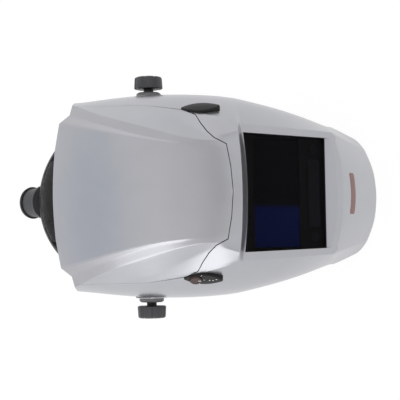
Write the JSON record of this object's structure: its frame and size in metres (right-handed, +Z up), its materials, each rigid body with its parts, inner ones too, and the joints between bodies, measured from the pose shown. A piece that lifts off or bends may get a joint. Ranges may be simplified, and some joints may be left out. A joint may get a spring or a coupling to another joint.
{
  "type": "auto-darkening welding helmet",
  "caption": "Moulded welding helmet with a dark filter window, side pods and a shade dial, pivoting on a padded ratchet headband.",
  "frame": {"origin": "middle of the shell's pivot axis, between the wearer's temples", "axes": "+X to the wearer's left along the pivot axis, -Y out of the face, +Z up as worn"},
  "size_m": [0.2296, 0.3097, 0.3018],
  "materials": {
    "shell_paint": "metallic silver paint",
    "dark_plastic": "moulded black",
    "grey_plastic": "moulded dark grey",
    "dial_red": "moulded red brown",
    "lens": "clear hard coat",
    "filter": "dark filter",
    "steel": "plated",
    "rubber": "soft black",
    "foam": "covered foam"
  },
  "bodies": {
    "headgear": {"arm_rivet_left_1": "steel", "arm_rivet_left_2": "steel", "arm_rivet_right_1": "steel", "arm_rivet_right_2": "steel", "crown_peg": "dark_plastic", "crown_strap_left": "grey_plastic", "crown_strap_right": "grey_plastic", "friction_washer_left": "rubber", "friction_washer_right": "rubber", "front_band": "grey_plastic", "nape_pad": "foam", "outer_washer_left": "grey_plastic", "outer_washer_right": "grey_plastic", "pivot_arm_left": "grey_plastic", "pivot_arm_right": "grey_plastic", "pivot_bolt_left": "steel", "pivot_bolt_right": "steel", "ratchet_cover": "grey_plastic", "ratchet_housing": "grey_plastic", "rear_strap_left": "grey_plastic", "rear_strap_right": "grey_plastic", "sweatband": "foam"},
    "shell": {"arc_sensor_left": "filter", "arc_sensor_right": "filter", "cassette_frame": "dark_plastic", "coin_cell_left": "steel", "coin_cell_right": "steel", "control_pod_left": "dark_plastic", "control_pod_right": "dark_plastic", "cover_lens": "lens", "crown_shell": "shell_paint", "dial_lead": "rubber", "face_shell": "shell_paint", "filter_cassette": "dark_plastic", "filter_glass": "filter", "inner_cover_lens": "lens", "lens_gasket": "rubber", "pivot_bush_left": "dark_plastic", "pivot_bush_right": "dark_plastic", "shade_pot": "dark_plastic", "solar_panel": "filter"},
    "tension_left": {"tension_knob_left": "grey_plastic"},
    "tension_right": {"tension_knob_right": "grey_plastic"},
    "ratchet": {"ratchet_knob": "dark_plastic", "ratchet_pinion": "grey_plastic"},
    "dial": {"shade_dial": "dial_red"},
    "sensitivity": {"sensitivity_knob": "grey_plastic"},
    "delay": {"delay_knob": "grey_plastic"},
    "mode": {"mode_button": "dial_red"},
    "cap_left": {"battery_cap_left": "grey_plastic"},
    "cap_right": {"battery_cap_right": "grey_plastic"}
  },
  "joints": [
    {"name": "shell_flip", "type": "hinge", "parent": "headgear", "child": "shell", "pos_m": [0, 0, 0], "axis": [-1, 0, 0], "range_deg": [0, 55]},
    {"name": "tension_turn_left", "type": "hinge", "parent": "headgear", "child": "tension_left", "pos_m": [0.1, 0, 0], "axis": [1, 0, 0], "continuous": true},
    {"name": "tension_turn_right", "type": "hinge", "parent": "headgear", "child": "tension_right", "pos_m": [-0.1, 0, 0], "axis": [-1, 0, 0], "continuous": true},
    {"name": "ratchet_turn", "type": "hinge", "parent": "headgear", "child": "ratchet", "pos_m": [0, 0.14, 0.0175], "axis": [0, 1, 0], "continuous": true},
    {"name": "shade_turn", "type": "hinge", "parent": "shell", "child": "dial", "pos_m": [-0.07658, -0.07853, 0.0233], "axis": [-0.8192, -0.3912, 0.4195], "range_deg": [-135, 135]},
    {"name": "sensitivity_turn", "type": "hinge", "parent": "shell", "child": "sensitivity", "pos_m": [-0.018, -0.1123, -0.09054], "axis": [0, 0.9563, -0.2924], "range_deg": [-135, 135]},
    {"name": "delay_turn", "type": "hinge", "parent": "shell", "child": "delay", "pos_m": [0.018, -0.1123, -0.09054], "axis": [0, 0.9563, -0.2924], "range_deg": [-135, 135]},
    {"name": "mode_press", "type": "slide", "parent": "shell", "child": "mode", "axis": [0, -0.9563, 0.2924], "range_m": [0, 0.0012], "stiffness_N_per_m": 600},
    {"name": "cap_turn_left", "type": "hinge", "parent": "shell", "child": "cap_left", "pos_m": [0.0415, -0.1123, -0.09054], "axis": [0, 0.9563, -0.2924], "range_deg": [0, 60]},
    {"name": "cap_turn_right", "type": "hinge", "parent": "shell", "child": "cap_right", "pos_m": [-0.0415, -0.1123, -0.09054], "axis": [0, 0.9563, -0.2924], "range_deg": [0, 60]}
  ]
}
